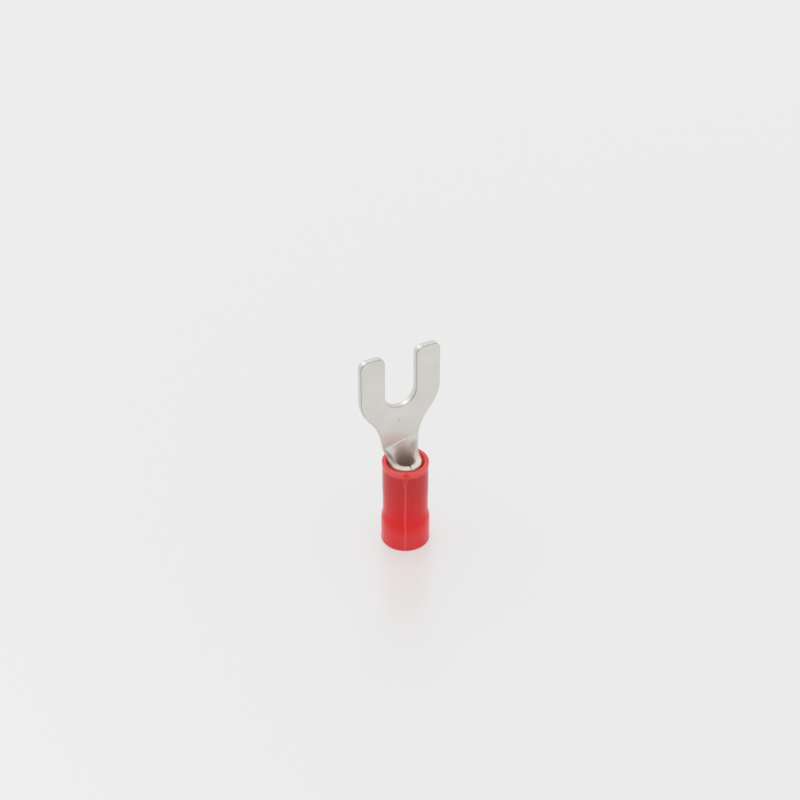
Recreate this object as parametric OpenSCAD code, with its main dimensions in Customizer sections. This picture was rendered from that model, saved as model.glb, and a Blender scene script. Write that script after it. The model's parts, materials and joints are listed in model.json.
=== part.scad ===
// Insulated fork terminal: tinned copper fork contact in a red PVC sleeve.
// Millimetres. Z runs along the wire barrel, up towards the tines.
// The origin is the middle of the wire entry face, X spans the fork.
// The butt seam of the barrel and the front face of the tongue look to -Y.

/* [Fork] */
// Height of the tine tips above the wire entry face
overall_length = 20.3; // [19:0.1:22]
// Width over both tines
fork_width = 8; // [7.4:0.1:8.6]
// Width of the open slot, for an M3 stud
slot_width = 3.2; // [3:0.05:3.6]
// Height of the centre of the round slot bottom
slot_height = 16.1; // [15.8:0.1:16.6]
// Corner radius of the tine tips
tip_radius = 0.65; // [0.3:0.05:0.9]
// Thickness of the coined tongue
tongue_thickness = 0.65; // [0.6:0.01:0.68]

/* [Neck] */
// Width of the flat blank where the neck leaves the barrel
neck_width = 2.84; // [2.6:0.02:3]
// Widening of each neck edge per millimetre of height
neck_flare = 0.2; // [0.15:0.01:0.25]
// Radius of the hollow curve from the neck to the shoulder
neck_fillet = 5.4; // [4.8:0.1:6]
// Height of the crease where the flat tongue starts to curl
crease_height = 10.7; // [10.5:0.05:11.2]
// Radius of the cut between the neck edge and the barrel mouth
wing_fillet = 0.85; // [0.6:0.05:0.95]

/* [Barrel] */
// Thickness of the sheet the barrel is rolled from
sheet_thickness = 0.7; // [0.69:0.01:0.74]
// Bore of the rolled barrel
barrel_bore = 1.6; // [1.5:0.05:1.8]
// Height of the barrel mouth
barrel_top = 8.96; // [8.7:0.02:9.2]
// Height of the lower end of the barrel
barrel_bottom = 2.6; // [2.5:0.05:3]
// Open width of the butt seam
seam_gap = 0.05; // [0.03:0.01:0.12]
// Depth of the notch the seam leaves in the mouth
seam_notch = 0.16; // [0.08:0.02:0.3]

/* [Sleeve] */
// Length of the sleeve
sleeve_length = 9; // [8.9:0.05:9.4]
// Diameter of the upper body
body_d = 4.25; // [4.2:0.05:4.4]
// Diameter of the narrowed middle
waist_d = 4.18; // [4.1:0.02:4.2]
// Diameter of the wider wire entry
entry_d = 4.5; // [4.45:0.05:4.7]
// Diameter of the lip at the top
lip_d = 4.33; // [4.3:0.01:4.44]
// Height of the lip
lip_height = 0.42; // [0.3:0.02:0.6]
// Diameter of the bead at the bottom
bead_d = 4.54; // [4.52:0.01:4.7]
// Height of the bead
bead_height = 0.3; // [0.2:0.05:0.5]
// Bore of the wire entry
entry_bore = 3.3; // [3.1:0.05:3.5]
// Depth of the wire entry
entry_depth = 1.9; // [1.5:0.05:2]
// Bore of the seat the barrel stands on
seat_bore = 2.6; // [2.4:0.05:2.8]
// Width of the funnel inside the top edge
funnel_width = 0.28; // [0.1:0.02:0.32]
// Depth of the funnel inside the top edge
funnel_depth = 0.46; // [0.2:0.02:0.8]
// Radius of the lip's outer edge
lip_radius = 0.1; // [0.05:0.01:0.14]
// Radius of the outer edge at the bottom
foot_radius = 0.2; // [0.1:0.01:0.2]

/* [Parting lines] */
// Width of the raised parting line
ridge_width = 0.2; // [0.1:0.02:0.3]
// Height of the raised parting line
ridge_height = 0.03; // [0.02:0.005:0.04]
// Direction of the first parting line, turned from +X
ridge_azimuth = 242; // [200:1:260]

/* [Fits] */
// Radial clearance between barrel and sleeve
barrel_clearance = 0.02; // [0.01:0.005:0.04]

/* [Hidden] */
$fn = 96;

// A hair of overlap or offset where two surfaces would only touch
hair = 0.005;

// Barrel radii
bore_r = barrel_bore / 2;
mid_r = bore_r + sheet_thickness / 2;
barrel_r = bore_r + sheet_thickness;

// The back of the tongue is level with the back of the barrel
tongue_back = barrel_r;

// Fork outline: a shoulder disc about the slot centre, a neck edge that leans outwards,
// and a hollow curve that touches both
half_fork = fork_width / 2;
half_slot = slot_width / 2;
shoulder_r = half_fork + hair / 2;
edge_dir = [neck_flare, 1] / norm([neck_flare, 1]);
edge_out = [edge_dir[1], -edge_dir[0]];
edge_foot = [neck_width / 2, barrel_top];
slot_center = [0, slot_height];
touch_r = half_fork + neck_fillet;
reach = edge_foot + neck_fillet * edge_out - slot_center;
along = reach * edge_dir;
slide = -along - sqrt(along * along - reach * reach + touch_r * touch_r);
curve = slot_center + reach + slide * edge_dir;
curve_start = curve - neck_fillet * edge_out;
shoulder_meet = slot_center + (curve - slot_center) * half_fork / touch_r;

// Rows, columns and edge steps of the curled neck
curl_rows = 22;
curl_cols = 26;
edge_steps = 4;
row_crowding = 1.4;
half_sheet = sheet_thickness / 2 - hair;

// The curled neck is buried in the barrel wall below and in the tongue above
curl_low = barrel_top - 0.3;
curl_high = crease_height + 0.06;
wing_floor = barrel_top - 0.05;
buried_inset = 0.04;

// Half width of the flat blank at height z, between barrel and crease
function neck_half(z) =
    z > curve_start[1]
        ? curve[0] - sqrt(pow(neck_fillet, 2) - pow(z - curve[1], 2))
        : edge_foot[0] + neck_flare * (z - barrel_top);
function wing_drop(z) = min(wing_fillet, max(0, wing_floor + wing_fillet - z));
function wing_half(z) = wing_fillet - sqrt(pow(wing_fillet, 2) - pow(wing_drop(z), 2));
function blank_half(z) =
    z > crease_height ? neck_half(crease_height) - buried_inset : neck_half(z) + wing_half(z);

// Curl of the sheet: none at the crease, the barrel's own at the mouth
function curl_part(z) = min(1, max(0, (crease_height - z) / (crease_height - barrel_top)));
function curl_ease(t) = 1.5 * t - 0.5 * pow(t, 3);
function curvature(z) = curl_ease(curl_part(z)) / mid_r;

// Point of the curled sheet at height z, arc length a, offset d towards the back
function flat_point(z, a, d) = [a, mid_r + d, z];
function bent_point(z, a, d, k) =
    [
        (1 / k + d) * sin(a * k * 180 / PI),
        mid_r - 1 / k + (1 / k + d) * cos(a * k * 180 / PI),
        z
    ];
function sheet_point(z, a, d) =
    curvature(z) < 0.001 ? flat_point(z, a, d) : bent_point(z, a, d, curvature(z));

// Height of row i: close rows at the mouth, where the wings spread
function curl_z(i) =
    i == 0 ? curl_low
    : i == curl_rows ? curl_high
    : wing_floor + (crease_height - wing_floor) * pow((i - 1) / (curl_rows - 2), row_crowding);

// Loop round the sheet in row i: front, right edge, back, left edge
function across(j) = 2 * j / curl_cols - 1;
function through(j) = half_sheet * (2 * j / edge_steps - 1);
function sheet_loop(z, w) = concat(
    [for (j = [0:curl_cols]) sheet_point(z, w * across(j), -half_sheet)],
    [for (j = [1:edge_steps - 1]) sheet_point(z, w, through(j))],
    [for (j = [0:curl_cols]) sheet_point(z, -w * across(j), half_sheet)],
    [for (j = [1:edge_steps - 1]) sheet_point(z, -w, -through(j))]
);

// Heights at which the sleeve's outside changes
swell_low = 2.45;
swell_high = 3.75;
waist_high = 4.5;
taper_high = 6.1;
lip_low = sleeve_length - lip_height;
lip_run = 0.08;
bead_run = 0.2;

// Inside of the sleeve
sleeve_bore_r = barrel_r + barrel_clearance;
seat_height = 0.2;

// The parting lines start in the wall, just over the rounded foot, and end in the lip
ridge_core_r = 1.9;
ridge_low = foot_radius + 0.02;
ridge_high = lip_low + 0.1;

// Half a cosine wave from radius r1 at z1 to radius r2 at z2
function wave(r1, z1, r2, z2, n) =
    [for (i = [0:n]) [r1 + (r2 - r1) * (1 - cos(180 * i / n)) / 2, z1 + (z2 - z1) * i / n]];

// Outside of the sleeve between bottom bead and lip, moved out by d
function sleeve_side(d) = concat(
    wave(bead_d / 2 + d, bead_height, entry_d / 2 + d, bead_height + bead_run, 4),
    wave(entry_d / 2 + d, swell_low, waist_d / 2 + d, swell_high, 12),
    wave(waist_d / 2 + d, waist_high, body_d / 2 + d, taper_high, 8)
);

// Quarter round of radius q about [r, z], from the given angle
function edge_arc(r, z, q, from, n) =
    [for (i = [0:n]) [r + q * cos(from + 90 * i / n), z + q * sin(from + 90 * i / n)]];

// What a rounded tine tip leaves of a square corner
module tip_cutter() {
    difference() {
        square([tip_radius + 1, tip_radius + 1]);
        circle(r = tip_radius);
    }
}

module fork_outline() {
    difference() {
        intersection() {
            union() {
                translate(slot_center) circle(r = shoulder_r);
                translate([-fork_width, slot_height])
                    square([2 * fork_width, overall_length - slot_height]);
                translate([-shoulder_meet[0], crease_height])
                    square([2 * shoulder_meet[0], shoulder_meet[1] - crease_height]);
            }
            translate([-half_fork, crease_height])
                square([fork_width, overall_length - crease_height]);
        }
        for (side = [-1, 1]) {
            translate([side * curve[0], curve[1]])
                circle(r = neck_fillet + hair / 2);
        }
        translate(slot_center) circle(r = half_slot);
        translate([-half_slot, slot_height])
            square([slot_width, overall_length]);
        for (side = [0, 1]) {
            mirror([side, 0]) {
                translate([half_fork - tip_radius, overall_length - tip_radius])
                    tip_cutter();
                translate([half_slot + tip_radius, overall_length - tip_radius])
                    mirror([1, 0]) tip_cutter();
            }
        }
    }
}

module tongue() {
    translate([0, tongue_back, 0])
        rotate([90, 0, 0])
            linear_extrude(height = tongue_thickness) fork_outline();
}

// Triangles from one loop point to a run of others
function fan(tip, run) = [for (k = [0:len(run) - 2]) [tip, run[k], run[k + 1]]];

// The neck between crease and mouth: a flat sheet that curls into the barrel
module curled_neck() {
    loop = 2 * (curl_cols + edge_steps);
    last = curl_rows * loop;
    // Loop point on the back, straight behind point j of the front
    function behind(j) = 2 * curl_cols + edge_steps - j;
    sides = [
        for (i = [0:curl_rows - 1]) for (j = [0:loop - 1]) for (half = [0, 1])
            half == 0
                ? [i * loop + j, (i + 1) * loop + j, (i + 1) * loop + (j + 1) % loop]
                : [i * loop + j, (i + 1) * loop + (j + 1) % loop, i * loop + (j + 1) % loop]
    ];
    low_end = concat(
        [for (j = [1:curl_cols - 2]) each fan(j, [j + 1, behind(j + 1), behind(j)])],
        fan(curl_cols - 1, [for (k = [curl_cols:curl_cols + edge_steps + 1]) k]),
        fan(1, [for (k = [behind(1):loop]) k % loop])
    );
    high_end = [for (f = low_end) [last + f[0], last + f[2], last + f[1]]];
    polyhedron(
        points = [for (i = [0:curl_rows]) each sheet_loop(curl_z(i), blank_half(curl_z(i)))],
        faces = concat(sides, low_end, high_end)
    );
}

// Room for the butt seam, wider at the mouth where the sheet's corners are rounded off
module seam_cutter() {
    flare = 1.2 * seam_notch;
    translate([-seam_gap / 2, -barrel_r - 1, barrel_bottom - 1])
        cube([seam_gap, barrel_r + 1, barrel_top - barrel_bottom + 2]);
    translate([0, 0, barrel_top - seam_notch])
        rotate([90, 0, 0])
            linear_extrude(height = barrel_r + 1)
                polygon([[0, 0], [flare, flare], [-flare, flare]]);
}

module barrel() {
    difference() {
        translate([0, 0, barrel_bottom])
            cylinder(r = barrel_r, h = barrel_top - barrel_bottom);
        translate([0, 0, barrel_bottom - 1])
            cylinder(r = bore_r, h = barrel_top - barrel_bottom + 2);
        seam_cutter();
    }
}

module fork_contact() {
    color([0.8, 0.8, 0.78]) {
        union() {
            tongue();
            curled_neck();
            barrel();
        }
    }
}

module sleeve_tube() {
    bottom_edge = edge_arc(bead_d / 2 - foot_radius, foot_radius, foot_radius, -90, 6);
    top_edge = edge_arc(lip_d / 2 - lip_radius, sleeve_length - lip_radius, lip_radius, 0, 4);
    inside = [
        [sleeve_bore_r + funnel_width, sleeve_length],
        [sleeve_bore_r, sleeve_length - funnel_depth],
        [sleeve_bore_r, barrel_bottom],
        [seat_bore / 2, barrel_bottom],
        [seat_bore / 2, barrel_bottom - seat_height],
        [entry_bore / 2, entry_depth],
        [entry_bore / 2, 0]
    ];
    rotate_extrude()
        polygon(concat(
            bottom_edge,
            sleeve_side(0),
            wave(body_d / 2, lip_low - lip_run, lip_d / 2, lip_low, 3),
            top_edge,
            inside
        ));
}

module parting_ridge(azimuth) {
    half_turn = ridge_width / entry_d * 180 / PI;
    rotate([0, 0, azimuth - half_turn])
        rotate_extrude(angle = 2 * half_turn)
            polygon(concat(
                [[ridge_core_r, ridge_low], [bead_d / 2 + ridge_height, ridge_low]],
                sleeve_side(ridge_height),
                [[body_d / 2 + ridge_height, ridge_high], [ridge_core_r, ridge_high]]
            ));
}

module insulating_sleeve() {
    color([0.8, 0.12, 0.13]) {
        union() {
            sleeve_tube();
            parting_ridge(ridge_azimuth);
            parting_ridge(ridge_azimuth - 180);
        }
    }
}

fork_contact();
insulating_sleeve();
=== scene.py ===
"""Insulated fork terminal: a stamped, tinned copper fork in a moulded red PVC sleeve.

Sizes in the classes are millimetres and meshes are written in metres. Z runs up the wire barrel
to the tine tips, X spans the fork, and the butt seam of the barrel looks to -Y.
"""

import json
import logging
import math
from dataclasses import dataclass, field
from enum import Enum
from functools import partial
from typing import Any, Callable, Iterable, Sequence

import bmesh
import bpy
import numpy as np
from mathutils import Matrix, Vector


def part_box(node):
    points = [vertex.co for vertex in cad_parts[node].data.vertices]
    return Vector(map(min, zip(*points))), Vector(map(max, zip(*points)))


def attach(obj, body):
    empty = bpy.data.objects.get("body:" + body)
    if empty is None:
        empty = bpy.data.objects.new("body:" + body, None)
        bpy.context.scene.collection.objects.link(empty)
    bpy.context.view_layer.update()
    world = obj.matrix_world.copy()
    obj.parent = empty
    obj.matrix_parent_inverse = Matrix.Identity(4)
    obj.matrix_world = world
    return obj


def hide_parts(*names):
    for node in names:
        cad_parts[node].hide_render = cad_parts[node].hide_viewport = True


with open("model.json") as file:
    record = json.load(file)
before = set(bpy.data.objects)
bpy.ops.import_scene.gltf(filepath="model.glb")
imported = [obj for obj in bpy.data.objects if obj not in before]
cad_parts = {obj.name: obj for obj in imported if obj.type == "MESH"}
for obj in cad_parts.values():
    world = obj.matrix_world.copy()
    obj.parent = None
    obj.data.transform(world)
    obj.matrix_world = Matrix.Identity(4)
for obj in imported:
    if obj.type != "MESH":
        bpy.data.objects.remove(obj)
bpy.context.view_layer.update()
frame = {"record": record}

MM = 0.001
# Edges that turn by more than this stay sharp
SHARP_DEG = 35.0
# Curl, per mm, under which a row of the sheet counts as flat
NO_CURL = 1e-4
# Slack for comparing two lengths, in mm
HAIR = 1e-9
LOG = logging.getLogger("fork_terminal")
NodeAdder = Callable[..., bpy.types.bpy_prop_collection]


class CadNode(Enum):
    """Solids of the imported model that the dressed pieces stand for."""

    CONTACT = "fork_contact"
    SLEEVE = "insulating_sleeve"


class Slot(Enum):
    """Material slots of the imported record."""

    TIN = "tinned_copper"
    PVC = "red_pvc"


class Mark(Enum):
    """Values painted on the vertices, for the finishes to read."""

    CUT = "cut_edge"
    CORNER = "sheared_corner"
    BEND = "bend"
    FLASH = "flash_line"
    GATE = "gate_blush"


def mount(name: str) -> dict[str, Any]:
    """Entry of a mount, by its name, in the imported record."""
    return next(m for m in frame["record"]["mounts"] if m["name"] == name)


def linear(code: str) -> tuple[float, float, float, float]:
    """Turns an sRGB hex colour into linear light.

    Args:
        code: the colour as "#RRGGBB".

    Returns:
        Red, green, blue and an alpha of 1, linear.
    """
    steps = [int(code[i:i + 2], 16) / 255 for i in (1, 3, 5)]
    light = [s / 12.92 if s <= 0.04045 else ((s + 0.055) / 1.055) ** 2.4 for s in steps]
    return light[0], light[1], light[2], 1.0


def per_metre(size_mm: float) -> float:
    """Texture scale, per metre, of a pattern that repeats each size_mm."""
    return 1 / (size_mm * MM)


def ease(x: float) -> float:
    """Smooth step from 0 to 1 over the same span."""
    t = min(1.0, max(0.0, x))
    return t * t * (3 - 2 * t)


def add_node(
    tree: bpy.types.NodeTree,
    kind: str,
    inputs: dict[str | int, Any] | None = None,
    **settings: Any,
) -> bpy.types.bpy_prop_collection:
    """Adds one shader node, sets it and links it.

    Args:
        tree: the node tree that takes the node.
        kind: the node's type name, after the "ShaderNode" that all of them start with.
        inputs: socket to value, or to the output socket that feeds it.
        settings: the node's own properties.

    Returns:
        The new node's output sockets.
    """
    node = tree.nodes.new("ShaderNode" + kind)
    for name, value in settings.items():
        setattr(node, name, value)
    for socket, value in (inputs or {}).items():
        if isinstance(value, bpy.types.NodeSocket):
            tree.links.new(value, node.inputs[socket])
        else:
            node.inputs[socket].default_value = value
    return node.outputs


def fresh_material(name: str) -> tuple[bpy.types.Material, NodeAdder]:
    """Makes an empty node material.

    Args:
        name: the material's name.

    Returns:
        The material, and add_node for its own tree.
    """
    material = bpy.data.materials.new(name)
    material.use_nodes = True
    material.node_tree.nodes.clear()
    return material, partial(add_node, material.node_tree)


@dataclass(frozen=True)
class TinPlate:
    """Electro-tinned copper strip, cold rolled, then stamped and curled.

    Bright tin over rolled copper is a pale, faintly warm satin metal. Rolling leaves fine lines
    along the strip. The die burnishes the cut edges and leaves a dull grey line at their
    corners. The curl stretches the tin to a drier skin that the copper warms, and handling
    leaves a few nicks.
    """

    name: str = "tin_plate_cold_rolled"
    pale: str = "#F0EEE9"
    dull: str = "#DAD8D2"
    burnished: str = "#E0DED9"
    thinned: str = "#E5D3CB"
    thinned_fall: float = 3.0
    # The left wing is stretched less and keeps more of its tin
    kept_left: float = 0.5
    wing: str = "#E4D6CC"
    # Painted shade: a darker colour for the left wing's bent cut edge
    wing_shade: str = "#CDBFB4"
    # Run of X over which the painted shade on the left wing's cut edge fades out to the right
    wing_shade_mm: tuple[float, float] = (-1.2, 0.4)
    # Cream colour of the cut edge round the mouth: a painted highlight
    mouth: str = "#FFF7EC"
    # Run of Y over which the painted highlight on the cut edge round the mouth gives way to the
    # wings
    mouth_highlight_mm: tuple[float, float] = (-0.5, -0.05)
    sheared: str = "#8F8A82"
    corner_share: float = 0.58
    nick: str = "#8E8A82"
    # Matt plating scatters part of the light
    metallic: float = 0.75
    roughness: float = 0.3
    cut_roughness: float = 0.34
    bend_roughness: float = 0.5
    # Swing of the roughness across the roll lines, and the span of the noise that drives it
    grain_swing: float = 0.015
    grain_span: tuple[float, float] = (0.3, 0.7)
    cloud_mm: float = 2.4
    # Real roll lines lie about 0.01 mm apart: drawn ten times coarser so that they show
    roll_line_mm: float = 0.1
    roll_stretch: float = 0.06
    # Shear streaks of the die on the cut edge
    streak_mm: float = 0.12
    nick_cell_mm: float = 2.3
    # Largest nick, in cells, its flat core, and how far chance closes it up
    nick_radius: float = 0.07
    nick_core: float = 0.4
    nick_chance: float = 1.6
    nick_depth: float = 0.6
    nick_turn_deg: float = 35.0
    nick_shape: tuple[float, float, float] = (1.0, 1.0, 0.4)
    # Share of the roll lines in the relief, and the strength and depth of the whole
    roll_relief: float = 0.2
    relief_share: float = 0.1
    relief_mm: float = 0.02

    def build(self) -> bpy.types.Material:
        """Makes the material.

        Returns:
            The tin plate material.
        """
        material, node = fresh_material(self.name)
        place = node("TexCoord")["Object"]
        spot = node("SeparateXYZ", {0: place})
        cut, corner, bend = (node("Attribute", attribute_name=mark.value)["Fac"]
                             for mark in (Mark.CUT, Mark.CORNER, Mark.BEND))
        along = node("Mapping", {"Vector": place, "Scale": (1.0, 1.0, self.roll_stretch)})[0]
        cloud, rolled, streaks = (
            node("TexNoise", {"Vector": way, "Scale": per_metre(size), "Detail": detail})["Fac"]
            for way, size, detail in (
                (place, self.cloud_mm, 3.0), (along, self.roll_line_mm, 2.0),
                (place, self.streak_mm, 1.0))
        )
        turned = node("Mapping", {
            "Vector": place, "Scale": self.nick_shape,
            "Rotation": (math.pi / 2, 0.0, math.radians(self.nick_turn_deg))})[0]
        cells = node("TexVoronoi", {
            "Vector": turned, "Scale": per_metre(self.nick_cell_mm)}, voronoi_dimensions="2D")
        chance = node("SeparateColor", {0: cells["Color"]})[0]
        reach = node("Math", {
            0: chance, 1: self.nick_chance * self.nick_radius, 2: cells["Distance"],
        }, operation="MULTIPLY_ADD")[0]
        nicks = node("MapRange", {
            "Value": reach, "From Min": self.nick_radius * self.nick_core,
            "From Max": self.nick_radius, "To Min": self.nick_depth, "To Max": 0.0})[0]
        # rubbed is the share of the painted highlight on the cut edge round the mouth
        rubbed, leftness = (
            node("MapRange", {
                "Value": value, "From Min": span[0] * MM, "From Max": span[1] * MM,
                "To Min": 1.0, "To Max": 0.0})[0]
            for value, span in ((spot["Y"], self.mouth_highlight_mm), (spot["X"], self.wing_shade_mm))
        )
        thin = node("Math", {0: bend, 1: self.thinned_fall}, operation="POWER")[0]
        left_bend = node("Math", {0: leftness, 1: thin}, operation="MULTIPLY")[0]
        worn = node("Math", {0: left_bend, 1: -self.kept_left, 2: thin}, operation="MULTIPLY_ADD")[0]
        line = node("Math", {0: corner, 1: self.corner_share}, operation="MULTIPLY")[0]
        skin, wing, edge = linear(self.dull), linear(self.wing), linear(self.burnished)
        for share, over in ((cloud, self.pale), (nicks, self.nick), (worn, self.thinned)):
            skin = node("Mix", {"Factor": share, 6: skin, 7: linear(over)}, data_type="RGBA")[2]
        # Painted shade on the left wing's bent cut edge
        wing = node("Mix", {"Factor": left_bend, 6: wing, 7: linear(self.wing_shade)}, data_type="RGBA")[2]
        # The cut edge round the mouth takes the painted highlight
        for share, over in ((bend, wing), (rubbed, linear(self.mouth))):
            edge = node("Mix", {"Factor": share, 6: edge, 7: over}, data_type="RGBA")[2]
        for share, over in ((cut, edge), (line, linear(self.sheared))):
            skin = node("Mix", {"Factor": share, 6: skin, 7: over}, data_type="RGBA")[2]
        rough = node("MapRange", {
            "Value": rolled, "From Min": self.grain_span[0], "From Max": self.grain_span[1],
            "To Min": self.roughness - self.grain_swing,
            "To Max": self.roughness + self.grain_swing})[0]
        for share, drier in ((cut, self.cut_roughness), (bend, self.bend_roughness)):
            rough = node("Math", {
                0: share, 1: drier - self.roughness, 2: rough}, operation="MULTIPLY_ADD")[0]
        shear = node("Math", {0: cut, 1: streaks}, operation="MULTIPLY")[0]
        relief = node("Math", {
            0: rolled, 1: self.roll_relief, 2: shear}, operation="MULTIPLY_ADD")[0]
        pitted = node("Math", {0: relief, 1: nicks}, operation="SUBTRACT")[0]
        bump = node("Bump", {
            "Height": pitted, "Strength": self.relief_share, "Distance": self.relief_mm * MM})[0]
        metal = node("BsdfPrincipled", {
            "Base Color": skin, "Metallic": self.metallic, "Roughness": rough, "Normal": bump})[0]
        node("OutputMaterial", {"Surface": metal})
        return material


@dataclass(frozen=True)
class MouldedPvc:
    """Plasticised PVC, injection moulded, in signal red.

    The wall is thin and a little translucent. Its colour is painted brighter where it stands free
    at the wire entry, as a painted glow, and painted deeper where the metal barrel backs it, as the
    painted shade of the barrel behind the wall. The mould leaves a soft satin skin, paler at the
    lip and at the foot, where the paleness is painted light of the bright floor, a paler flash line
    at each parting of its halves, which is partly a painted highlight along its ridge, and a clear
    blush at the gate.
    """

    name: str = "pvc_red_moulded"
    # Painted shade of the barrel behind the translucent wall
    barrel_shade: str = "#CC2023"
    # Painted brighter: a painted glow of light through the free wall
    free: str = "#E80002"
    # Paler red at the lip and at the foot; at the foot it is painted light of the bright floor
    pale_ends: str = "#E65759"
    # Paler flash line: partly stress-whitened flash, partly a painted highlight along its ridge
    flash: str = "#F86A70"
    blush: str = "#E42C1E"
    flash_sheen_share: float = 0.42
    roughness: float = 0.22
    ior: float = 1.48
    glow: float = 0.6
    glow_depth_mm: tuple[float, float, float] = (0.9, 0.15, 0.12)
    skin_mm: float = 0.16
    skin_share: float = 0.15
    skin_depth_mm: float = 0.01
    mottle_mm: float = 1.3
    # Swings of the roughness and of the painted barrel shade with the mottle
    satin_swing: float = 0.04
    barrel_shade_swing: float = 0.1
    # Heights over which the painted shade of the barrel behind the wall grows, the paler lip grows,
    # and the paler foot, painted light of the bright floor, fades
    barrel_shade_mm: tuple[float, float] = (2.3, 7.6)
    top_mm: tuple[float, float] = (8.2, 8.7)
    foot_mm: tuple[float, float] = (1.5, 2.8)
    foot_floor_light: float = 0.3
    # Radii from the funnel to the outer wall; in the funnel only a share of the painted barrel
    # shade and paler ends is kept, which paints light into the funnel's shade
    funnel_mm: tuple[float, float] = (1.75, 1.9)
    funnel_paint_share: float = 0.5

    def build(self) -> bpy.types.Material:
        """Makes the material.

        Returns:
            The red PVC material.
        """
        material, node = fresh_material(self.name)
        place = node("TexCoord")["Object"]
        height = node("SeparateXYZ", {0: place})["Z"]
        plan = node("VectorMath", {0: place, 1: (1.0, 1.0, 0.0)}, operation="MULTIPLY")[0]
        radius = node("VectorMath", {0: plan}, operation="LENGTH")["Value"]
        # In the funnel less painted shade is laid on: painted light in its shade
        outer = node("MapRange", {
            "Value": radius, "From Min": self.funnel_mm[0] * MM,
            "From Max": self.funnel_mm[1] * MM, "To Min": self.funnel_paint_share})[0]
        barrel_shade_rise, top, foot = (
            node("MapRange", {
                "Value": height, "From Min": span[0] * MM, "From Max": span[1] * MM,
                "To Min": low, "To Max": high}, interpolation_type="SMOOTHSTEP")[0]
            for span, low, high in (
                (self.barrel_shade_mm, 0.0, 1.0), (self.top_mm, 0.0, 1.0),
                (self.foot_mm, self.foot_floor_light, 0.0))
        )
        mottle, skin = (
            node("TexNoise", {"Vector": place, "Scale": per_metre(size), "Detail": 2.0})["Fac"]
            for size in (self.mottle_mm, self.skin_mm)
        )
        drift = node("Math", {
            0: mottle, 1: 2 * self.barrel_shade_swing, 2: -self.barrel_shade_swing,
        }, operation="MULTIPLY_ADD")[0]
        # Painted shade of the barrel behind the wall, swayed by the mottle
        depth = node("Math", {0: barrel_shade_rise, 1: drift}, operation="ADD", use_clamp=True)[0]
        barrel_shade_share = node("Math", {0: depth, 1: outer}, operation="MULTIPLY")[0]
        # Paler lip and foot; the paler foot is painted light of the bright floor
        pale_end = node("Math", {0: top, 1: foot}, operation="MAXIMUM")[0]
        pale_end_share = node("Math", {0: pale_end, 1: outer}, operation="MULTIPLY")[0]
        flash, gate = (node("Attribute", attribute_name=mark.value)["Fac"]
                       for mark in (Mark.FLASH, Mark.GATE))
        # Paler flash line, partly a painted highlight along the ridge
        flash_sheen = node("Math", {0: flash, 1: self.flash_sheen_share}, operation="MULTIPLY")[0]
        wall = linear(self.free)
        for share, over in (
            (barrel_shade_share, self.barrel_shade), (pale_end_share, self.pale_ends), (flash_sheen, self.flash), (gate, self.blush),
        ):
            wall = node("Mix", {"Factor": share, 6: wall, 7: linear(over)}, data_type="RGBA")[2]
        satin = node("Math", {
            0: mottle, 1: 2 * self.satin_swing, 2: self.roughness - self.satin_swing,
        }, operation="MULTIPLY_ADD")[0]
        bump = node("Bump", {
            "Height": skin, "Strength": self.skin_share, "Distance": self.skin_depth_mm * MM})[0]
        plastic = node("BsdfPrincipled", {
            "Base Color": wall, "Roughness": satin, "IOR": self.ior, "Normal": bump,
            "Subsurface Weight": self.glow, "Subsurface Scale": MM,
            "Subsurface Radius": self.glow_depth_mm})[0]
        node("OutputMaterial", {"Surface": plastic})
        return material


@dataclass
class CutRun:
    """A run of the blank's cut edge: points and outward normals in the flat blank, in mm."""

    points: np.ndarray
    normals: np.ndarray

    @classmethod
    def line(cls, start: Sequence[float], end: Sequence[float], steps: int) -> "CutRun":
        """A straight run, with the metal on its left.

        Args:
            start: first point.
            end: last point.
            steps: number of steps.

        Returns:
            The run.
        """
        p, q = np.array(start, float), np.array(end, float)
        way = (q - p) / np.linalg.norm(q - p)
        share = np.linspace(0, 1, steps + 1)[:, None]
        return cls(p + share * (q - p), np.tile([way[1], -way[0]], (steps + 1, 1)))

    @classmethod
    def arc(cls, centre: Sequence[float], radius: float, angles: Iterable[float]) -> "CutRun":
        """A round run: rising angles give a corner, falling angles a hollow.

        Args:
            centre: the arc's centre.
            radius: its radius.
            angles: its angles, in degrees.

        Returns:
            The run.
        """
        turn = np.radians(np.array(list(angles), float))
        out = np.stack([np.cos(turn), np.sin(turn)], 1)
        return cls(np.array(centre, float) + radius * out, out * np.sign(turn[-1] - turn[0]))

    def __add__(self, other: "CutRun") -> "CutRun":
        """This run and the next, which starts where this one ends."""
        points = np.concatenate([self.points, other.points[1:]])
        return CutRun(points, np.concatenate([self.normals, other.normals[1:]]))

    def reverse(self) -> "CutRun":
        """The same run from its other end."""
        return CutRun(self.points[::-1], self.normals[::-1])

    def inset(self, depth: float | np.ndarray) -> np.ndarray:
        """The run's points moved into the metal, by one depth or by a column of depths."""
        return self.points - depth * self.normals


@dataclass(frozen=True)
class EdgePoint:
    """A point of the section through the cut edge.

    It stands out by a share of the edge's inset, at a depth under the front or the back face: a
    share of the inset, for the rounding, and a length. It takes a share of the dull line that
    the die leaves at the corners.
    """

    out: float
    roll: float
    depth: float
    from_back: bool
    corner: float


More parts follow.
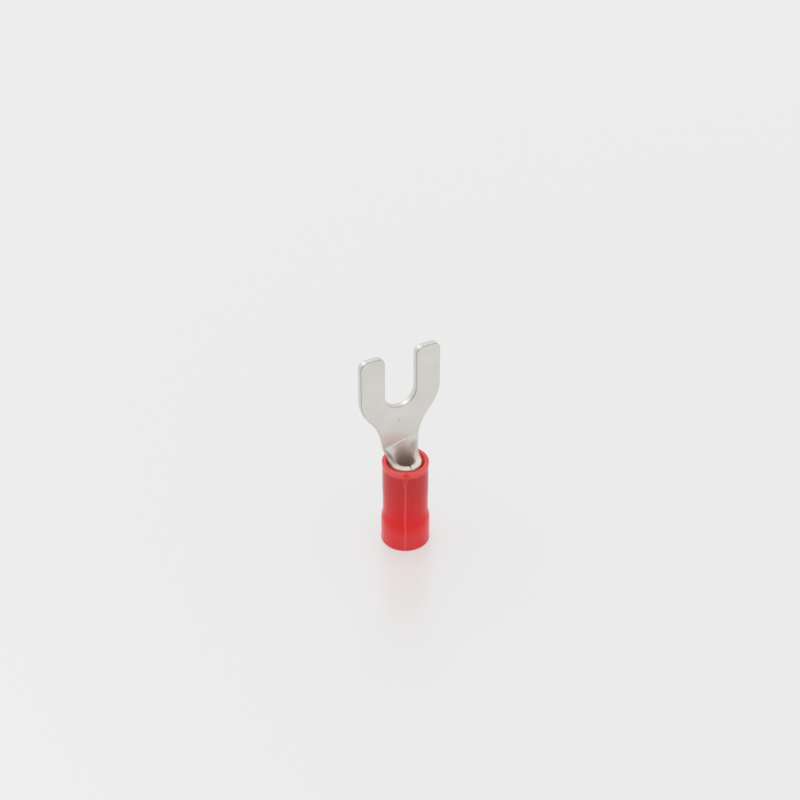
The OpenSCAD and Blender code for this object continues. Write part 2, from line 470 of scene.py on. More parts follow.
@dataclass
class FlatGrid:
    """Quads over the flat blank, whose vertices know the row that they bend with.

    A vertex beside the cut edge has the edge's outward normal, and an inset where that is its own.
    """

    points: list[np.ndarray] = field(default_factory=list)
    rows: list[float] = field(default_factory=list)
    quads: list[tuple[int, int, int, int]] = field(default_factory=list)
    normals: dict[int, np.ndarray] = field(default_factory=dict)
    insets: dict[int, float] = field(default_factory=dict)

    def add(
        self, point: Sequence[float], row: float, normal: Sequence[float] | None = None
    ) -> int:
        """Adds a vertex.

        Args:
            point: its place in the blank.
            row: height of the row that it bends with.
            normal: the cut edge's outward normal, for a vertex beside it.

        Returns:
            The vertex's number.
        """
        self.points.append(np.array(point, float))
        self.rows.append(row)
        if normal is not None:
            self.normals[len(self.points) - 1] = np.array(normal, float)
        return len(self.points) - 1

    def bridge(self, low: Sequence[int], high: Sequence[int]) -> None:
        """Fills the strip between two rows of as many vertices with quads."""
        for i in range(len(low) - 1):
            self.quads.append((low[i], low[i + 1], high[i + 1], high[i]))

    def rim(self) -> list[int]:
        """Walks round the grid's open edge.

        Returns:
            The numbers of its vertices, in order.
        """
        seen: dict[tuple[int, int], int] = {}
        for quad in self.quads:
            for a, b in zip(quad, quad[1:] + quad[:1]):
                key = (min(a, b), max(a, b))
                seen[key] = seen.get(key, 0) + 1
        beside: dict[int, list[int]] = {}
        for (a, b), count in seen.items():
            if count == 1:
                beside.setdefault(a, []).append(b)
                beside.setdefault(b, []).append(a)
        start = min(beside)
        loop, last = [start], start
        step = beside[start][0]
        while step != start:
            loop.append(step)
            last, step = step, next(v for v in beside[step] if v != last)
        return loop


@dataclass
class ForkContact:
    """The stamped sheet: flat fork, neck that curls into a scoop, and rolled wire barrel."""

    length: float
    half_fork: float
    half_slot: float
    slot_height: float
    tongue_front: float
    tongue_back: float
    bore_r: float
    barrel_foot: float
    barrel_mouth: float
    # Outline of the blank
    tip_r: float = 0.65
    neck_half: float = 1.42
    neck_flare: float = 0.2
    hollow_r: float = 5.4
    wing_r: float = 0.85
    seam_gap: float = 0.07
    seam_corner: float = 0.2
    foot_corner: float = 0.15
    # Coined crease: its lean, its slope, and how that slope widens to the left
    crease: float = 10.66
    crease_lean: float = 0.145
    crease_run: float = 0.06
    crease_fade: float = 0.5
    fade_from: float = 0.2
    # Curl: powers of its start under the crease, and the top of its dry skin
    curl_left: float = 1.45
    curl_right: float = 1.05
    stretch_top: float = 12.4
    # Rounding of the cut edge's front, its burr at the back, and the dull lines of the die
    edge_inset: float = 0.09
    edge_burr: float = 0.04
    corner_line: float = 0.16
    back_line: float = 0.14
    back_share: float = 0.5
    # Left wing: the rounding that the rolling tool rubbed, and the power of its dulling
    wing_round: float = 0.3
    wing_dull: float = 0.25
    # Steps of the mesh
    neck_cols: int = 40
    flank_cols: int = 22
    corner_steps: int = 7
    barrel_rows: int = 18
    wing_rows: int = 14
    neck_rows: int = 16
    hollow_steps: int = 14
    shoulder_steps: int = 16
    tine_steps: int = 8
    tongue_cols: int = 8
    edge_steps: int = 5
    crease_stops: tuple[float, ...] = (0.25, 0.5, 0.75, 1.0, 1.5)
    line_stops: tuple[float, ...] = (0.33, 0.67, 1.0)

    @classmethod
    def from_frame(cls) -> "ForkContact":
        """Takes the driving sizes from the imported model.

        Returns:
            The contact.
        """
        low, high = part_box(CadNode.CONTACT.value)
        slot, barrel = mount("stud_slot"), mount("wire_barrel")
        return cls(
            length=high.z / MM,
            half_fork=high.x / MM,
            half_slot=slot["dims"]["r_mm"],
            slot_height=slot["pos_m"][2] / MM,
            tongue_front=mount("tongue_front")["pos_m"][1] / MM,
            tongue_back=mount("tongue_back")["pos_m"][1] / MM,
            bore_r=barrel["dims"]["r_mm"],
            barrel_foot=low.z / MM,
            barrel_mouth=low.z / MM + barrel["dims"]["length_mm"],
        )

    @property
    def sheet(self) -> float:
        """Thickness of the sheet."""
        return self.tongue_back - self.bore_r

    @property
    def mid_r(self) -> float:
        """Radius of the middle of the rolled sheet."""
        return self.bore_r + self.sheet / 2

    @property
    def half_wrap(self) -> float:
        """Half of the sheet's width round the barrel."""
        return math.pi * self.mid_r - self.seam_gap / 2

    @property
    def wing_half(self) -> float:
        """Half width of the blank where the wings run out into the mouth."""
        return self.neck_half + self.wing_r

    @property
    def curl_height(self) -> float:
        """Height over which the sheet curls, from the mouth to the crease."""
        return self.crease - self.barrel_mouth

    def edge_at(self, z: float) -> float:
        """Half width of the straight-edged neck at a height."""
        return self.neck_half + self.neck_flare * (z - self.barrel_mouth)

    def curvature(self, a: float, row: float) -> float:
        """Curl of the sheet: none at the crease, the barrel's own at the mouth.

        Args:
            a: distance across the blank. The left wing starts to curl more slowly.
            row: height of the row that the point bends with.

        Returns:
            The curvature, per mm.
        """
        t = min(1.0, max(0.0, (self.crease - row) / self.curl_height))
        left = ease((1 - a / self.neck_half) / 2)
        start = self.curl_right + (self.curl_left - self.curl_right) * left
        return (3 * t ** start - t ** 3) / 2 / self.mid_r

    def stretch(self, z: float) -> float:
        """Share of the curl's dry skin at a height: it fades out above the crease."""
        return ease((self.stretch_top - z) / (self.stretch_top - self.barrel_mouth))

    def front_depth(self, a: float, row: float) -> float:
        """Depth of the front face: the tongue is coined thinner, in a step that fades to the left.

        Args:
            a: distance across the blank.
            row: height of the row that the point bends with.

        Returns:
            The depth from the sheet's middle.
        """
        coined = self.tongue_front - self.bore_r
        run = self.crease_run + self.crease_fade * ease((-a - self.fade_from) / self.neck_half)
        return coined * ease((row - self.crease - self.crease_run) / run + 1) - self.sheet / 2

    def bend(self, a: float, z: float, row: float, d: float) -> tuple[float, float, float]:
        """Curls a point of the blank.

        Args:
            a: distance across the blank.
            z: height.
            row: height of the row that the point bends with.
            d: depth from the sheet's middle, towards the back.

        Returns:
            The point in the part's frame, in metres.
        """
        k = self.curvature(a, row)
        if k < NO_CURL:
            return a * MM, (self.mid_r + d) * MM, z * MM
        x = (1 / k + d) * math.sin(a * k)
        y = self.mid_r - 1 / k + (1 / k + d) * math.cos(a * k)
        return x * MM, y * MM, z * MM

    def barrel_run(self) -> CutRun:
        """Cut edge of the barrel's right half.

        Returns:
            The run, from the foot up the seam to the mouth.
        """
        wrap, foot, mouth = self.half_wrap, self.barrel_foot, self.barrel_mouth
        low, high = self.foot_corner, self.seam_corner
        quarter = self.corner_steps + 1
        return (
            CutRun.arc((wrap - low, foot + low), low, np.linspace(-90, 0, quarter))
            + CutRun.line((wrap, foot + low), (wrap, mouth - high), self.barrel_rows)
            + CutRun.arc((wrap - high, mouth - high), high, np.linspace(0, 90, quarter))
        )

    def neck_rows_at(self) -> np.ndarray:
        """Places the neck's rows over the wings, close together at the crease.

        Returns:
            Their heights, from the lowest up.
        """
        low = self.barrel_mouth + self.wing_r
        below = np.linspace(low, self.crease, self.neck_rows + 1)[1:]
        above = self.crease + self.crease_run * np.array(self.crease_stops)
        return np.concatenate([below, above])

    def lean(self, row: float) -> float:
        """Lean of a row across the blank: none at the mouth, full at the crease."""
        return self.crease_lean * ease((row - self.barrel_mouth) / self.curl_height)

    def neck_run(self, side: float) -> CutRun:
        """Cut edge of a wing and the neck, from the mouth up, drawn on the right.

        Args:
            side: 1 for the right edge, -1 for the left.

        Returns:
            The run.
        """
        turn = np.linspace(0, math.pi / 2, self.wing_rows + 1)
        z = self.barrel_mouth + self.wing_r * (1 - np.cos(turn))
        a = self.neck_half + self.neck_flare * (z - self.barrel_mouth)
        a = a + self.wing_r * (1 - np.sin(turn))
        rise = self.wing_r * np.sin(turn)
        way = np.stack([self.neck_flare * rise - self.wing_r * np.cos(turn), rise], 1)
        way /= np.linalg.norm(way, axis=1)[:, None]
        tilt = side * a * np.array([self.lean(height) for height in z])
        wing = CutRun(np.stack([a, z + tilt], 1), np.stack([way[:, 1], -way[:, 0]], 1))
        slope = wing.normals[-1]
        rows = self.neck_rows_at()
        reach = np.array([side * self.lean(row) * self.edge_at(row) for row in rows])
        rows = rows + reach + self.edge_inset * slope[1]
        line = np.stack([[self.edge_at(row) for row in rows], rows], 1)
        return CutRun(
            np.concatenate([wing.points, line]),
            np.concatenate([wing.normals, np.tile(slope, (len(rows), 1))]),
        )

    def outer_run(self, start: np.ndarray) -> CutRun:
        """Cut edge of the right shoulder and tine.

        Args:
            start: the last point of the neck's edge.

        Returns:
            The run, from the hollow over the shoulder to the tip's outer corner.
        """
        along = np.array([self.neck_flare, 1.0]) / math.hypot(self.neck_flare, 1.0)
        out = np.array([along[1], -along[0]])
        slot = np.array([0.0, self.slot_height])
        touch = self.half_fork + self.hollow_r
        reach = np.array([self.neck_half, self.barrel_mouth]) + self.hollow_r * out - slot
        run = reach @ along
        centre = slot + reach - (run + math.sqrt(run ** 2 - reach @ reach + touch ** 2)) * along
        to_slot = (slot - centre) / touch
        first = math.degrees(math.atan2(-out[1], -out[0]))
        last = math.degrees(math.atan2(to_slot[1], to_slot[0]))
        half, tip = self.half_fork, self.length - self.tip_r
        return (
            CutRun.line(start, centre - self.hollow_r * out, 1)
            + CutRun.arc(centre, self.hollow_r, np.linspace(first, last, self.hollow_steps + 1))
            + CutRun.arc(slot, half, np.linspace(last - 180, 0, self.shoulder_steps + 1))
            + CutRun.line((half, self.slot_height), (half, tip), self.tine_steps)
            + CutRun.arc((half - self.tip_r, tip), self.tip_r,
                         np.linspace(0, 90, self.corner_steps + 1))
        )

    def inner_run(self, outer: CutRun) -> CutRun:
        """Cut edge of the right half of the slot, each point across from one of the outer run.

        Args:
            outer: the shoulder and tine's outer run.

        Returns:
            The run, from the slot's bottom up the wall to the tip's inner corner.
        """
        across = outer.points[:-(self.tine_steps + self.corner_steps)]
        angles = np.degrees(np.arctan2(across[:, 1] - self.slot_height, across[:, 0]))
        half, tip = self.half_slot, self.length - self.tip_r
        wall = CutRun.line((half, tip), (half, self.slot_height), self.tine_steps)
        corner = CutRun.arc((half + self.tip_r, tip), self.tip_r,
                            np.linspace(90, 180, self.corner_steps + 1))
        floor = CutRun.arc((0, self.slot_height), half, angles[::-1])
        return (corner + wall + floor).reverse()

    def left_inset(self, z: float) -> float:
        """Rounding of the left edge, where the rolling tool rubs the wing's corner.

        Args:
            z: height.

        Returns:
            The inset of the rounding from the cut edge.
        """
        rise = ease((z - self.barrel_mouth) / self.seam_corner)
        rubbed = rise * ease((self.crease - z - self.wing_round) / self.wing_r)
        return self.edge_inset + (self.wing_round - self.edge_inset) * rubbed

    def flat_grid(self) -> FlatGrid:
        """Covers the flat blank with quads, short of its cut edge by the edge's rounding.

        Returns:
            The grid.
        """
        grid = FlatGrid()
        barrel = self.barrel_run()
        middle = np.linspace(-self.wing_half, self.wing_half, self.neck_cols + 1)
        mirror = np.array([-1.0, 1.0])
        rows: list[list[int]] = []
        ends = barrel.inset(self.edge_inset)
        for i, (a_end, z) in enumerate(ends):
            flank = np.linspace(self.wing_half, a_end, self.flank_cols + 1)[1:]
            across = np.concatenate([-flank[::-1], middle, flank])
            row = []
            for j, a in enumerate(across):
                normal = None
                if j in (0, len(across) - 1):
                    normal = barrel.normals[i] * (mirror if j == 0 else 1)
                elif i == 0:
                    normal = (0.0, -1.0)
                elif i == len(ends) - 1 and abs(a) > self.wing_half - HAIR:
                    normal = (0.0, 1.0)
                row.append(grid.add((a, z), z, normal))
            if rows:
                grid.bridge(rows[-1], row)
            rows.append(row)
        last = rows[-1][self.flank_cols:self.flank_cols + self.neck_cols + 1]
        right, left = self.neck_run(1.0), self.neck_run(-1.0)
        right_ends = right.inset(self.edge_inset)
        left_ends = left.inset(self.edge_inset) * mirror
        wings = (left_ends + right_ends)[:self.wing_rows + 1, 1] / 2
        insets = np.array([self.left_inset(z) for z in left.points[:, 1]])
        left_ends = left.inset(insets[:, None]) * mirror
        heights = np.concatenate([wings, self.neck_rows_at()])
        for i in range(1, len(heights)):
            across = np.linspace(left_ends[i], right_ends[i], self.neck_cols + 1)
            row = [grid.add(point, heights[i]) for point in across]
            grid.normals[row[0]] = left.normals[i] * mirror
            grid.insets[row[0]] = insets[i]
            grid.normals[row[-1]] = right.normals[i]
            grid.bridge(last, row)
            last = row
        self.add_tongue(grid, last, right.points[-1], left.points[-1])
        return grid

    def add_tongue(
        self, grid: FlatGrid, neck: list[int], right: np.ndarray, left: np.ndarray
    ) -> None:
        """Adds the tongue as rungs that run from the outside to the slot, tip round to tip.

        Args:
            grid: the grid that takes the tongue.
            neck: the neck's top row.
            right: the last point of the neck's right edge.
            left: the last point of the neck's left edge, drawn on the right.
        """
        # Any row over the crease's slope is flat
        flat = self.crease + 2 * self.crease_run
        share = np.linspace(0, 1, self.tongue_cols + 1)
        slot = np.array([0.0, self.slot_height])
        tines: list[list[list[int]]] = []
        for start, side in ((left, -1.0), (right, 1.0)):
            flip = np.array([side, 1.0])
            outer = self.outer_run(start)
            inner = self.inner_run(outer)
            pairs = list(zip(outer.inset(self.edge_inset), outer.normals,
                             inner.inset(self.edge_inset), inner.normals))
            tine: list[list[int]] = []
            for p_out, n_out, p_in, n_in in pairs[1:]:
                at_tip = len(tine) == len(pairs) - 2
                rung = []
                for s in share:
                    normal = (0.0, 1.0) if at_tip else None
                    if s in (0.0, 1.0):
                        normal = (n_out if s == 0.0 else n_in) * flip
                    rung.append(grid.add((p_out + s * (p_in - p_out)) * flip, flat, normal))
                tine.append(rung)
            tines.append(tine)
        bottom = []
        for number in neck:
            foot = grid.points[number]
            way = (foot - slot) / np.linalg.norm(foot - slot)
            head = slot + (self.half_slot + self.edge_inset) * way
            rung = [number]
            for s in share[1:]:
                rung.append(grid.add(foot + s * (head - foot), flat, -way if s == 1.0 else None))
            bottom.append(rung)
        rungs = tines[0][::-1] + bottom + tines[1]
        for low, high in zip(rungs, rungs[1:]):
            grid.bridge(low, high)

    def edge_profile(self) -> list[EdgePoint]:
        """Section through the cut edge, from the front face to the back face.

        Returns:
            The section's points between the two faces.
        """
        burr = self.edge_burr
        turn = np.linspace(0, math.pi / 2, self.edge_steps + 1)
        front = [EdgePoint(math.sin(t), 1 - math.cos(t), 0.0, False, math.sin(t) ** 2)
                 for t in turn[1:]]
        side = [EdgePoint(1.0, 1.0, s * self.corner_line, False, 1 - ease(s))
                for s in self.line_stops]
        clean = [EdgePoint(1.0, 0.0, burr + self.back_line, True, 0.0)]
        back = [EdgePoint(math.sin(t), 0.0, burr * (1 - math.cos(t)), True, self.back_share)
                for t in turn[:0:-1]]
        return front + side + clean + back

    def build(self) -> bpy.types.Object:
        """Makes the sheet's mesh: front face, back face and the rounded cut edge between them.

        Returns:
            The contact.
        """
        grid = self.flat_grid()
        count = len(grid.points)
        back = self.sheet / 2
        places = [(point[0], point[1], row) for point, row in zip(grid.points, grid.rows)]
        verts = [self.bend(a, z, row, self.front_depth(a, row)) for a, z, row in places]
        verts += [self.bend(a, z, row, back) for a, z, row in places]
        faces: list[tuple[int, ...]] = list(grid.quads)
        faces += [tuple(v + count for v in reversed(quad)) for quad in grid.quads]
        cut, corner = [0.0] * (2 * count), [0.0] * (2 * count)
        bent = [self.stretch(point[1]) for point in grid.points] * 2
        profile = self.edge_profile()
        rings = []
        for number in grid.rim():
            point, normal, row = grid.points[number], grid.normals[number], grid.rows[number]
            inset = grid.insets.get(number, self.edge_inset)
            front = self.front_depth(point[0], row)
            ring = [number]
            for spot in profile:
                a, z = point + spot.out * inset * normal
                depth = front + spot.roll * inset + spot.depth
                if spot.from_back:
                    depth = back - spot.depth
                ring.append(len(verts))
                verts.append(self.bend(a, z, row, depth))
                cut.append(spot.out)
                corner.append(spot.corner * (inset / self.edge_inset) ** self.wing_dull)
                bent.append(self.stretch(z))
            ring.append(number + count)
            rings.append(ring)
        for one, two in zip(rings, rings[1:] + rings[:1]):
            for i in range(len(one) - 1):
                faces.append((one[i], one[i + 1], two[i + 1], two[i]))
        contact = mesh_object("fork_contact_sheet", verts, faces)
        paint(contact, Mark.CUT, cut)
        paint(contact, Mark.CORNER, corner)
        paint(contact, Mark.BEND, bent)
        return contact

    def dress(self, piece: bpy.types.Object, finish: TinPlate) -> None:
        """Gives the contact its finish and its place in the frame."""
        piece.data.materials.append(finish.build())
        settle(piece, CadNode.CONTACT)


@dataclass
class InsulatingSleeve:
    """The moulded sleeve: lip, body, waist, wider wire entry, and two parting lines."""

    length: float
    bead_r: float
    entry_bore_r: float
    entry_depth: float
    barrel_foot: float
    bore_r: float
    body_r: float = 2.125
    waist_r: float = 2.09
    entry_r: float = 2.25
    lip_r: float = 2.165
    lip_height: float = 0.42
    lip_run: float = 0.08
    lip_round: float = 0.1
    bead_height: float = 0.3
    bead_run: float = 0.2
    foot_round: float = 0.2
    swell: tuple[float, float] = (2.45, 3.75)
    taper: tuple[float, float] = (4.5, 6.1)
    # Inner wall
    clearance: float = 0.02
    funnel_width: float = 0.28
    funnel_depth: float = 0.46
    seat_r: float = 1.3
    seat_height: float = 0.2
    # Rounding of its corners, and their points in shares of it: outwards and up
    inner_round: float = 0.05
    brim_points: tuple[tuple[float, float], ...] = ((1.4, 0.0), (0.6, -0.2), (0.0, -0.7))
    brim_end: float = 1.7
    throat_points: tuple[tuple[float, float], ...] = ((0.3, 0.5), (0.0, -0.7))
    entry_points: tuple[tuple[float, float], ...] = ((0.0, 1.0), (0.3, 0.3), (1.0, 0.0))
    # Flash line: its size, the heights where it rises and falls, its sway and its fork
    flash_half: float = 0.17
    flash_height: float = 0.03
    flash_azimuth: float = 242.0
    flash_from: float = 0.12
    flash_rise: float = 0.2
    flash_over_lip: float = 0.1
    flash_fall: float = 0.12
    flash_sway: float = 0.01
    sway_rates: tuple[float, float] = (1.3, 3.1)
    flash_split: float = 0.14
    flash_split_run: float = 1.6
    split_loss: float = 0.5
    gate_half: float = 0.3
    gate_reach: float = 1.5
    gate_drop: float = 0.2
    gate_shift: float = 0.08
    # Steps of the mesh
    round_steps: int = 6
    wave_steps: tuple[int, int, int, int] = (8, 16, 10, 8)
    flash_cols: int = 24
    plain_cols: int = 70
    row_pitch: float = 0.2

    @classmethod
    def from_frame(cls, contact: ForkContact) -> "InsulatingSleeve":
        """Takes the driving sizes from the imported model.

        Args:
            contact: the contact that the sleeve grips.

        Returns:
            The sleeve.
        """
        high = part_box(CadNode.SLEEVE.value)[1]
        entry = mount("wire_entry")["dims"]
        return cls(
            length=high.z / MM,
            bead_r=high.x / MM,
            entry_bore_r=entry["r_mm"],
            entry_depth=entry["length_mm"],
            barrel_foot=contact.barrel_foot,
            bore_r=contact.tongue_back + cls.clearance,
        )

    def outside(self) -> list[tuple[float, float]]:
        """Section of the outer wall, from the foot up to the top face.

        Returns:
            Radius and height of each point.
        """
        quarter = np.linspace(0, math.pi / 2, self.round_steps + 1)
        foot_r = self.bead_r - self.foot_round
        lip_low = self.length - self.lip_height
        points = [(foot_r + self.foot_round * math.sin(t), self.foot_round * (1 - math.cos(t)))
                  for t in quarter]
        waves = (
            (self.bead_r, self.bead_height, self.entry_r, self.bead_height + self.bead_run),
            (self.entry_r, self.swell[0], self.waist_r, self.swell[1]),
            (self.waist_r, self.taper[0], self.body_r, self.taper[1]),
            (self.body_r, lip_low - self.lip_run, self.lip_r, lip_low),
        )
        for ends, steps in zip(waves, self.wave_steps):
            points += self.wave(*ends, steps)
        points += [(self.lip_r - self.lip_round * (1 - math.cos(t)),
                    self.length - self.lip_round * (1 - math.sin(t))) for t in quarter]
        return points

    def inside(self) -> list[tuple[float, float]]:
        """Section of the inner wall, from the top face down to the foot.

        Returns:
            Radius and height of each point.
        """
        soft, foot = self.inner_round, self.barrel_foot
        brim, throat = self.bore_r + self.funnel_width, self.length - self.funnel_depth
        slope, run = self.funnel_width / self.funnel_depth, self.brim_end * soft
        points = [(brim + out * soft, self.length + up * soft) for out, up in self.brim_points]
        points.append((brim - run * slope, self.length - run))
        points += [(self.bore_r + out * soft, throat + up * soft) for out, up in self.throat_points]
        points += [
            (self.bore_r, foot),
            (self.seat_r + soft, foot),
            (self.seat_r, foot - soft),
            (self.seat_r, foot - self.seat_height),
            (self.entry_bore_r, self.entry_depth),
        ]
        points += [(self.entry_bore_r + out * soft, up * soft) for out, up in self.entry_points]
        return points

    @staticmethod
    def wave(r1: float, z1: float, r2: float, z2: float, steps: int) -> list[tuple[float, float]]:
        """Half a cosine wave between two radii.

        Args:
            r1: first radius.
            z1: its height.
            r2: last radius.
            z2: its height.
            steps: number of steps.

        Returns:
            Radius and height of each point.
        """
        share = np.linspace(0, 1, steps + 1)
        return [(r1 + (r2 - r1) * (1 - math.cos(math.pi * s)) / 2, z1 + (z2 - z1) * s)
                for s in share]

    def section(self) -> list[tuple[float, float, float]]:
        """The whole section, with long straights split.

        Returns:
            Radius, height and share of the flash line of each point, once round the wall.
        """
        outside = self.outside()
        rough = outside + self.inside()
        flash_top = self.length - self.lip_height + self.flash_over_lip
        points: list[tuple[float, float, float]] = []
        for i, (r, z) in enumerate(rough):
            r2, z2 = rough[(i + 1) % len(rough)]
            parts = max(1, math.ceil(math.hypot(r2 - r, z2 - z) / self.row_pitch))
            for part in range(parts):
                s = part / parts
                height = z + s * (z2 - z)
                share = ease((height - self.flash_from) / self.flash_rise)
                share *= ease((flash_top - height) / self.flash_fall)
                points.append((r + s * (r2 - r), height, share if i < len(outside) - 1 else 0.0))
        return points

    def columns(self) -> list[tuple[float, float]]:
        """Directions of the mesh's columns, close together at the parting lines.

        Returns:
            Angle in radians, and distance in mm from the nearest parting line, of each column.
        """
        span = self.flash_half + self.flash_split + len(self.sway_rates) * self.flash_sway
        fine = span * np.linspace(-1, 1, self.flash_cols + 1)
        reach = span / self.body_r
        plain = np.linspace(reach, math.pi - reach, self.plain_cols + 1)[1:-1]
        found = []
        for half in (0.0, math.pi):
            first = math.radians(self.flash_azimuth) + half
            found += [(first + s / self.body_r, s) for s in fine]
            found += [(first + t, min(t, math.pi - t) * self.body_r) for t in plain]
        return found

    def flash_crest(self, away: float, z: float) -> float:
        """Share of the flash line's height: it sways a little, and forks under the gate.

        Args:
            away: distance across from the parting line.
            z: height.

        Returns:
            The share, from 0 to 1.
        """
        low = self.length - self.lip_height - self.flash_split_run
        fork = ease((z - low) / self.flash_split_run)
        sway = self.flash_sway * sum(math.sin(rate * z) for rate in self.sway_rates)
        gap = abs(abs(away - sway) - self.flash_split * fork)
        crest = math.cos(math.pi / 2 * min(1.0, gap / self.flash_half)) ** 2
        return crest * (1 - self.split_loss * fork)

    def build(self) -> bpy.types.Object:
        """Makes the sleeve's mesh by turning its section, with the flash lines raised.

        Returns:
            The sleeve.
        """
        section = self.section()
        columns = self.columns()
        verts, flash, gate = [], [], []
        brim = self.bore_r + self.funnel_width
        for number, (angle, away) in enumerate(columns):
            # The gate is on the first parting line only
            front = number < len(columns) // 4 or number > 3 * len(columns) // 4
            for r, z, share in section:
                crest = self.flash_crest(away, z) * share
                out = r + self.flash_height * crest
                verts.append((out * math.cos(angle) * MM, out * math.sin(angle) * MM, z * MM))
                flash.append(crest)
                drop = self.length - z - max(0.0, self.body_r - r)
                near = math.hypot(away - self.gate_shift, drop - self.gate_drop) / self.gate_half
                gate.append(ease(self.gate_reach - near) if front and r > brim else 0.0)
        rows = len(section)
        faces = []
        for j in range(len(columns)):
            k = (j + 1) % len(columns)
            for i in range(rows):
                n = (i + 1) % rows
                faces.append((j * rows + i, k * rows + i, k * rows + n, j * rows + n))
        sleeve = mesh_object("insulating_sleeve_moulding", verts, faces)
        paint(sleeve, Mark.FLASH, flash)
        paint(sleeve, Mark.GATE, gate)
        return sleeve

    def dress(self, piece: bpy.types.Object, finish: MouldedPvc) -> None:
        """Gives the sleeve its finish and its place in the frame."""
        piece.data.materials.append(finish.build())
        settle(piece, CadNode.SLEEVE)


def mesh_object(
    name: str,
    verts: Sequence[tuple[float, float, float]],
    faces: Sequence[tuple[int, ...]],
) -> bpy.types.Object:
    """Makes a closed, smooth-shaded mesh object whose flat faces stay flat.

    Args:
        name: the object's name.
        verts: vertices, in metres.
        faces: faces, as vertex numbers.

    Returns:
        The object, in the scene.
    """
    mesh = bpy.data.meshes.new(name)
    mesh.from_pydata(verts, [], faces)
    work = bmesh.new()
    work.from_mesh(mesh)
    bmesh.ops.recalc_face_normals(work, faces=work.faces)
    for face in work.faces:
        face.smooth = True
    for edge in work.edges:
        edge.smooth = edge.calc_face_angle(math.pi) < math.radians(SHARP_DEG)
    work.to_mesh(mesh)
    work.free()
    made = bpy.data.objects.new(name, mesh)
    bpy.context.scene.collection.objects.link(made)
    weighted = made.modifiers.new("flat_faces", "WEIGHTED_NORMAL")
    weighted.mode = "FACE_AREA"
    weighted.keep_sharp = True
    return made


def paint(piece: bpy.types.Object, mark: Mark, values: Sequence[float]) -> None:
    """Stores one value for each vertex, for the finishes to read."""
    layer = piece.data.attributes.new(mark.value, "FLOAT", "POINT")
    layer.data.foreach_set("value", np.array(values, np.float32))


def settle(piece: bpy.types.Object, node: CadNode) -> None:
    """Lets a piece stand for its solid on the one body.

    Args:
        piece: the dressed piece.
        node: the solid that it replaces.
    """
    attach(piece, "root")
    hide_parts(node.value)


@dataclass(frozen=True)
class Card:
    """A soft-edged card in the tent, which only mirrored light sees.

    A reflector adds light. A flag, with a gain under zero, takes light away.
    """

    way: tuple[float, float, float]
    inner_deg: float
    outer_deg: float
    gain: float


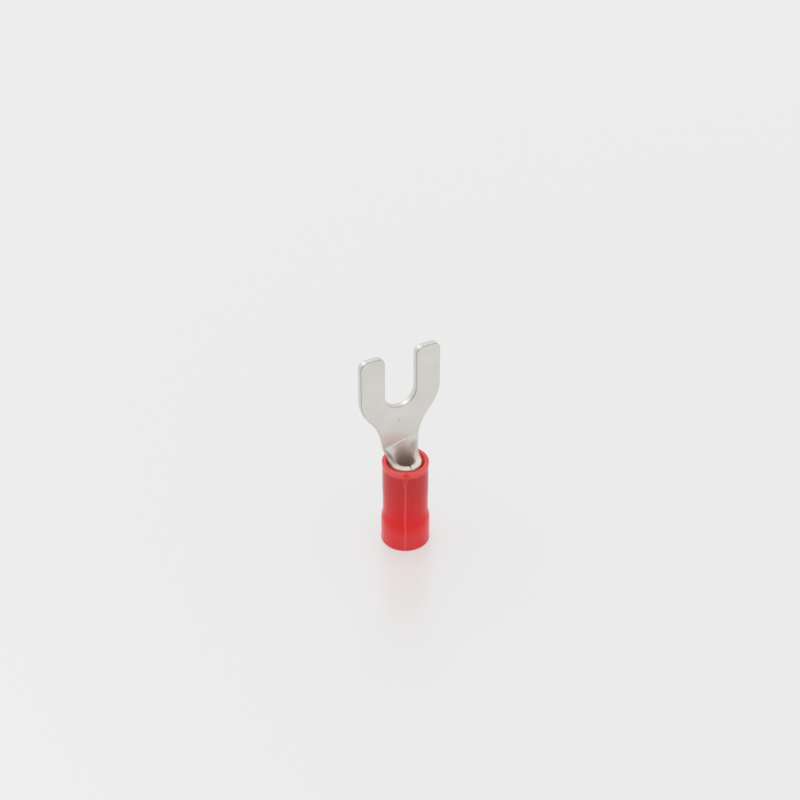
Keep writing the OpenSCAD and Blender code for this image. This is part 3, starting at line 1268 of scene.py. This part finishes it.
@dataclass
class Studio:
    """Pale floor, light tent and camera."""

    floor_tone: str = "#ECECEC"
    floor_half_mm: float = 900.0
    floor_roughness: float = 0.32
    floor_ior: float = 1.55
    floor_shine: float = 1.0
    # To the eye, a steady glow stands for this share of the floor's matt light
    floor_share: float = 0.7
    floor_glow: float = 0.62
    # Share of the glow that gives way to gloss at a grazing look
    floor_graze: float = 0.5
    # Sine of the angle of view under which the floor runs out into the backdrop
    floor_run_out: float = 0.407
    tent_strength: float = 0.86
    cards: tuple[Card, ...] = (
        Card((-0.75, -0.65, 0.12), 14.0, 36.0, -0.77),
        Card((-0.2, 0.72, 0.67), 8.0, 24.0, 0.5),
    )
    lamp_size_mm: float = 700.0
    lamp_place_mm: tuple[float, float, float] = (-100.0, 150.0, 650.0)
    lamp_watts: float = 1.0
    lens_mm: float = 100.0
    sensor_mm: float = 36.0
    clip_mm: tuple[float, float] = (10.0, 10000.0)
    azimuth_deg: float = -27.85
    pitch_deg: float = 35.77
    aim_mm: tuple[float, float, float] = (-0.284, 0.522, 15.56)
    distance_mm: float = 200.0

    def build(self) -> None:
        """Makes the whole studio."""
        self.lay_floor()
        self.hang_tent()
        self.hang_lamp()
        self.place_camera()
        bpy.context.scene.view_settings.view_transform = "Standard"

    def lay_floor(self) -> None:
        """Lays the floor, which shows from above only."""
        half = self.floor_half_mm * MM
        mesh = bpy.data.meshes.new("floor")
        corners = [(-half, -half, 0), (half, -half, 0), (half, half, 0), (-half, half, 0)]
        mesh.from_pydata(corners, [], [(0, 1, 2, 3)])
        floor = bpy.data.objects.new("floor", mesh)
        bpy.context.scene.collection.objects.link(floor)
        mesh.materials.append(self.floor_board())

    def floor_board(self) -> bpy.types.Material:
        """Makes the floor's finish: a smooth pale board, half matt, that keeps the part's shadow.

        Returns:
            The floor's material.
        """
        material, node = fresh_material("pale_board_smooth")
        tone = linear(self.floor_tone)
        path = node("LightPath")
        seen = path["Is Camera Ray"]
        for ray in ("Is Glossy Ray", "Is Transmission Ray"):
            seen = node("Math", {0: seen, 1: path[ray]}, operation="MAXIMUM")[0]
        share = node("Math", {0: seen, 1: self.floor_share}, operation="MULTIPLY")[0]
        black = (0.0, 0.0, 0.0, 1.0)
        matt = node("Mix", {"Factor": share, 6: tone, 7: black}, data_type="RGBA")[2]
        gloss = node("Fresnel", {"IOR": self.floor_ior})[0]
        left = node("Math", {
            0: gloss, 1: -self.floor_graze * self.floor_glow, 2: self.floor_glow,
        }, operation="MULTIPLY_ADD")[0]
        glow = node("Math", {0: seen, 1: left}, operation="MULTIPLY")[0]
        board = node("BsdfPrincipled", {
            "Base Color": matt, "Roughness": self.floor_roughness, "IOR": self.floor_ior,
            "Specular IOR Level": self.floor_shine, "Emission Color": tone,
            "Emission Strength": glow})[0]
        low = node("MapRange", {
            "Value": node("LayerWeight")["Facing"], "From Min": 1 - self.floor_run_out,
        }, interpolation_type="SMOOTHSTEP")[0]
        far = node("Math", {0: low, 1: path["Is Camera Ray"]}, operation="MULTIPLY")[0]
        plain = node("Emission", {"Color": tone})[0]
        swept = node("MixShader", {0: far, 1: board, 2: plain})[0]
        under = node("NewGeometry")["Backfacing"]
        clear = node("BsdfTransparent")[0]
        shown = node("MixShader", {0: under, 1: swept, 2: clear})[0]
        node("OutputMaterial", {"Surface": shown})
        return material

    def hang_tent(self) -> None:
        """Lights the part evenly from all sides, with a pale backdrop for the eye."""
        world = bpy.data.worlds.new("light_tent")
        bpy.context.scene.world = world
        world.use_nodes = True
        world.node_tree.nodes.clear()
        node = partial(add_node, world.node_tree)
        path = node("LightPath")
        way = node("TexCoord")["Generated"]
        strength: bpy.types.NodeSocket | float = self.tent_strength
        for card in self.cards:
            toward = node("VectorMath", {0: way, 1: card.way}, operation="DOT_PRODUCT")["Value"]
            change = node("MapRange", {
                "Value": toward, "From Min": math.cos(math.radians(card.outer_deg)),
                "From Max": math.cos(math.radians(card.inner_deg)), "To Max": card.gain,
            }, interpolation_type="SMOOTHSTEP")[0]
            strength = node("Math", {
                0: change, 1: path["Is Glossy Ray"], 2: strength}, operation="MULTIPLY_ADD")[0]
        light = node("Background", {"Color": (1.0, 1.0, 1.0, 1.0), "Strength": strength})[0]
        backdrop = node("Background", {"Color": linear(self.floor_tone)})[0]
        mixed = node("MixShader", {0: path["Is Camera Ray"], 1: light, 2: backdrop})[0]
        node("OutputWorld", {"Surface": mixed})

    def hang_lamp(self) -> None:
        """Hangs one wide soft lamp over the part."""
        data = bpy.data.lights.new("overhead_softbox", "AREA")
        data.shape = "SQUARE"
        data.size = self.lamp_size_mm * MM
        data.energy = self.lamp_watts
        lamp = bpy.data.objects.new("overhead_softbox", data)
        lamp.location = Vector(self.lamp_place_mm) * MM
        lamp.rotation_euler = (-Vector(lamp.location)).to_track_quat("-Z", "Y").to_euler()
        bpy.context.scene.collection.objects.link(lamp)

    def place_camera(self) -> None:
        """Places the camera at the viewing angle of the part."""
        turn, pitch = math.radians(self.azimuth_deg), math.radians(self.pitch_deg)
        back = Vector((math.sin(turn) * math.cos(pitch), -math.cos(turn) * math.cos(pitch),
                       math.sin(pitch)))
        data = bpy.data.cameras.new("camera")
        data.lens, data.sensor_width = self.lens_mm, self.sensor_mm
        data.clip_start, data.clip_end = (reach * MM for reach in self.clip_mm)
        camera = bpy.data.objects.new("camera", data)
        camera.location = (Vector(self.aim_mm) + back * self.distance_mm) * MM
        camera.rotation_euler = (-back).to_track_quat("-Z", "Y").to_euler()
        bpy.context.scene.collection.objects.link(camera)
        bpy.context.scene.camera = camera


def report(piece: bpy.types.Object) -> None:
    """Logs a piece's name and mesh size."""
    LOG.info("%s: %d vertices, %d faces", piece.name, len(piece.data.vertices),
             len(piece.data.polygons))


def main() -> None:
    """Builds the contact, the sleeve and the studio, in that order."""
    logging.basicConfig(level=logging.INFO)
    contact = ForkContact.from_frame()
    fork = contact.build()
    contact.dress(fork, TinPlate())
    report(fork)
    sleeve = InsulatingSleeve.from_frame(contact)
    tube = sleeve.build()
    sleeve.dress(tube, MouldedPvc())
    report(tube)
    Studio().build()


if __name__ == "__main__":
    main()
